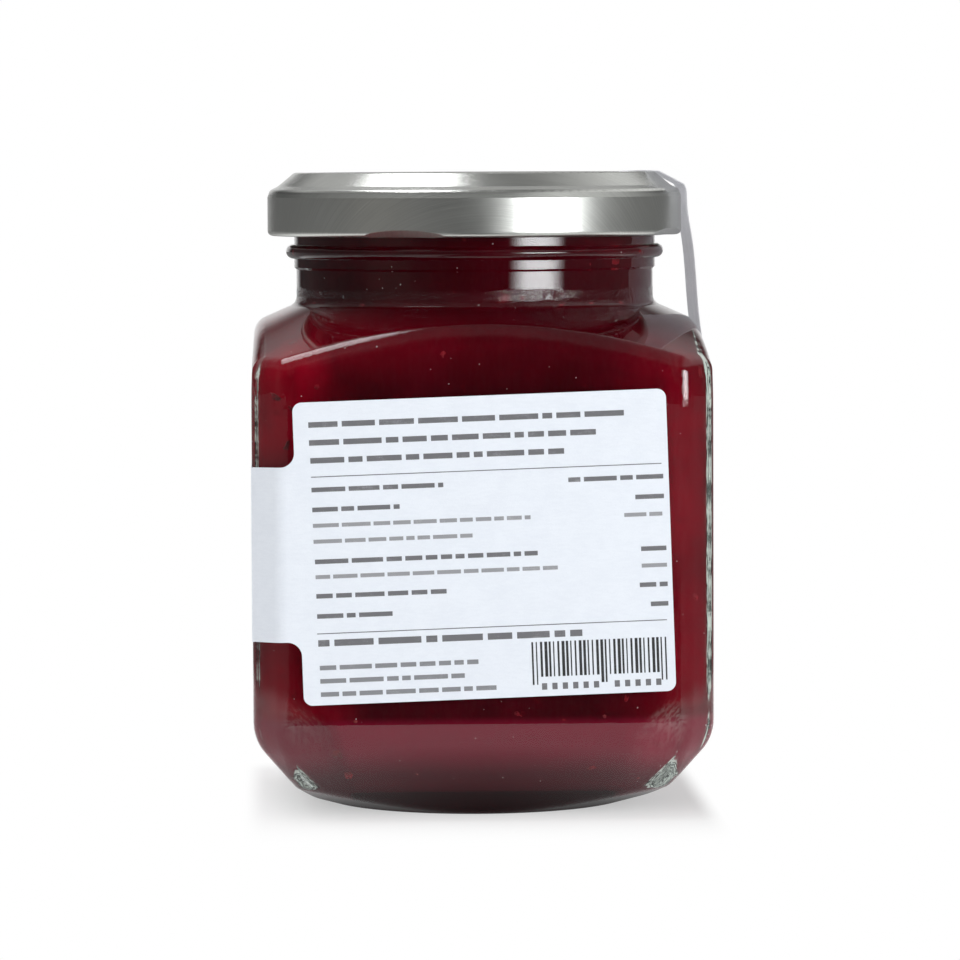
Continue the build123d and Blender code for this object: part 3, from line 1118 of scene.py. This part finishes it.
@dataclass(frozen=True)
class Floor:
    """A pale floor, white to the camera away from the jar. To glass and metal it is bright only near by: a
    painted pool of light, with painted shade at the jar's foot.
    """

    radius: float = 3.0
    tone: float = 0.88
    dimming: float = 0.84
    shade_share: float = 0.6
    shade_front: Span = (-0.062, -0.005)
    shade_back: Span = (0.050, 0.035)
    shade_side: Span = (0.0375, 0.0335)
    # The flank and ring spans shape a painted pool of light that only glass and metal see; the inner ring
    # span is painted shade at the jar's foot
    flank_side: Span = (0.05, 0.08)
    flank_far: Span = (0.26, 0.20)
    flank_level: float = 0.25
    reflected_pool_span: Span = (0.125, 0.105)
    reflected_shade_span: Span = (0.020, 0.046)

    def build(self) -> None:
        """Makes the floor and dresses it."""
        mesh = bmesh.new()
        bmesh.ops.create_circle(mesh, cap_ends=True, segments=96, radius=self.radius)
        data = bpy.data.meshes.new("floor")
        mesh.to_mesh(data)
        mesh.free()
        floor = bpy.data.objects.new("floor", data)
        bpy.context.scene.collection.objects.link(floor)
        data.materials.append(self.material())

    def material(self) -> bpy.types.Material:
        """Makes the floor's material.

        Returns:
            Matt near the jar, where its shadow falls, and lit of itself elsewhere.
        """
        material, graph = new_material("pale floor")
        x, y, _ = graph.parts(graph.place())
        radius = graph.radius(x, y)
        aside = graph.math("ABSOLUTE", x)
        path = graph.add("LightPath").outputs
        before = graph.product(graph.spread(y, *self.shade_front, 0.0, self.shade_share),
                               graph.spread(y, *self.shade_back))
        near = graph.product(graph.spread(aside, *self.shade_side), before)
        seen = graph.math("MAXIMUM", path["Is Camera Ray"], path["Is Transmission Ray"])
        plain = graph.product(seen, graph.math("SUBTRACT", 1.0, near))
        # Painted light for reflections: the floor glows round the jar and out to the sides for glossy rays,
        # with painted shade close to the jar's foot, and is dimmed to glossy rays elsewhere
        flank = graph.product(graph.spread(aside, *self.flank_side),
                              graph.spread(radius, *self.flank_far, self.flank_level, 1.0))
        outer = graph.math("MAXIMUM", graph.spread(radius, *self.reflected_pool_span), flank)
        painted_pool = graph.product(graph.spread(radius, *self.reflected_shade_span), outer)
        lit = graph.product(path["Is Glossy Ray"], painted_pool)
        white = graph.math("MAXIMUM", plain, lit, clamp=True)
        pale = graph.math("MULTIPLY_ADD", path["Is Glossy Ray"], -self.dimming, self.tone)
        matt = graph.add("BsdfDiffuse", {"Color": graph.grey(pale)})
        glow = graph.add("Emission", {"Color": rgba(WHITE), "Strength": 1.0})
        graph.surface(graph.add("MixShader", {0: white, 1: matt.outputs[0], 2: glow.outputs[0]}))
        return material


@dataclass
class Studio:
    """Floor, surroundings, lamps and camera."""

    camera_turn: float = -2.2
    camera_distance: float = 0.830
    camera_height: float = 0.102
    camera_roll: float = -0.25
    lens: float = 194.7
    aim: Vector = field(default_factory=lambda: Vector((0.00072, 0.0, 0.05074)))
    lamp_aim: Vector = field(default_factory=lambda: Vector((0.0, 0.0, 0.05)))
    softboxes: tuple[Softbox, ...] = (
        Softbox("right softbox", around(38.0, 0.90, 0.14), 0.66, 0.23, 15.5, (0.97, 0.985, 1.0), 0.25, 0.7),
        Softbox("overhead softbox", Vector((-0.30, 0.05, 1.0)), 0.95, 0.46, 6.0, (0.98, 0.98, 1.0), 0.5, 0.5),
        Softbox("left card", around(-58.0, 0.90, 0.18), 0.70, 0.40, 0.08, (1.0, 0.88, 0.72), 0.4, 0.6),
    )

    def build(self) -> None:
        """Sets up the whole studio."""
        Floor().build()
        Surroundings().build()
        for softbox in self.softboxes:
            softbox.build(self.lamp_aim)
        self.camera()

    def camera(self) -> None:
        """Places the camera before the jar, a little to its left."""
        data = bpy.data.cameras.new("camera")
        data.lens = self.lens
        data.sensor_width = 36.0
        data.clip_start = 0.05
        stand = bpy.data.objects.new("camera", data)
        place = around(self.camera_turn, self.camera_distance, self.camera_height)
        turn = (self.aim - place).to_track_quat("-Z", "Y")
        roll = Matrix.Rotation(math.radians(self.camera_roll), 4, "Z")
        stand.matrix_world = Matrix.Translation(place) @ turn.to_matrix().to_4x4() @ roll
        bpy.context.scene.collection.objects.link(stand)
        bpy.context.scene.camera = stand


def main() -> None:
    logging.basicConfig(level=logging.INFO, format="%(name)s %(message)s")
    bpy.context.scene.view_settings.view_transform = "Standard"
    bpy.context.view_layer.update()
    fibre = PaperFibre().build()
    GlassJar().build()
    Jam().build()
    Lid().build()
    Label(fibre=fibre).build()
    SealStrip(fibre=fibre).build()
    Studio().build()


if __name__ == "__main__":
    main()
